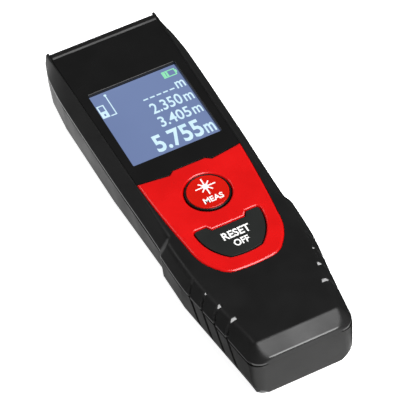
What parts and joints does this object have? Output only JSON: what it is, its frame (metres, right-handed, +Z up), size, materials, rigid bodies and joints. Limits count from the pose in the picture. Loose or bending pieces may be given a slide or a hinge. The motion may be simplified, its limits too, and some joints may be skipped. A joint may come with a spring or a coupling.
{
  "type": "laser distance meter",
  "caption": "Hand-held laser distance meter with a recessed colour screen, round measure key, eared clear key, front optics and a lift-off battery door.",
  "frame": {"origin": "centre of the casing's footprint, on the surface its belly rests on", "axes": "+Y towards the laser end, +Z up out of the screen and keys, +X to the right seen from above with the laser end away"},
  "size_m": [0.039, 0.1206, 0.0225],
  "materials": {
    "casing": "fine satin texture",
    "lower_casing": "fine matte texture",
    "door": "fine matte texture",
    "cap": "satin",
    "bezel": "glossy",
    "red_panel": "glossy",
    "red_key": "satin",
    "grey_key": "satin",
    "switch_body": "moulded",
    "switch_plunger": "moulded",
    "circuit_board": "solder mask",
    "chip": "moulded",
    "tin_shield": "tinned",
    "connector": "moulded",
    "buzzer_case": "moulded",
    "screen": "polished",
    "light_guide": "clear",
    "frame_plastic": "moulded",
    "flex": "film",
    "cells": "printed sleeve",
    "spring_steel": "bright",
    "optics_plastic": "moulded",
    "barrel_brass": "turned",
    "diode_can": "plated",
    "optic_glass": "coated",
    "screw_steel": "zinc plated"
  },
  "bodies": {
    "casing": {"upper_shell": "casing", "lower_shell": "lower_casing", "front_cap": "cap", "display_bezel": "bezel", "keypad_panel": "red_panel", "measure_switch": "switch_body", "clear_switch": "switch_body", "main_board": "circuit_board", "sensor_board": "circuit_board", "processor_chip": "chip", "board_shield": "tin_shield", "ribbon_socket": "connector", "buzzer": "buzzer_case", "lcd_panel": "screen", "backlight": "light_guide", "display_frame": "frame_plastic", "battery_holder": "frame_plastic", "display_ribbon": "flex", "battery_cells": "cells", "battery_springs": "spring_steel", "battery_contacts": "spring_steel", "optics_block": "optics_plastic", "laser_barrel": "barrel_brass", "laser_diode": "diode_can", "photodiode": "diode_can", "collimator_lens": "optic_glass", "laser_window": "optic_glass", "receiver_lens": "optic_glass", "case_screws": "screw_steel", "board_screws": "screw_steel"},
    "measure_key": {"measure_button": "red_key", "measure_plunger": "switch_plunger"},
    "clear_key": {"clear_button": "grey_key", "clear_plunger": "switch_plunger"},
    "battery_door": {"battery_door": "door"}
  },
  "joints": [
    {"name": "measure_key_press", "type": "slide", "parent": "casing", "child": "measure_key", "axis": [0, 0, -1], "range_m": [0, 0.0005], "stiffness_N_per_m": 2000, "springref_m": -0.0006},
    {"name": "clear_key_press", "type": "slide", "parent": "casing", "child": "clear_key", "axis": [0, 0, -1], "range_m": [0, 0.0005], "stiffness_N_per_m": 2000, "springref_m": -0.0006},
    {"name": "battery_door_lift", "type": "slide", "parent": "casing", "child": "battery_door", "axis": [0, 0, -1], "range_m": [0, 0.012]}
  ]
}
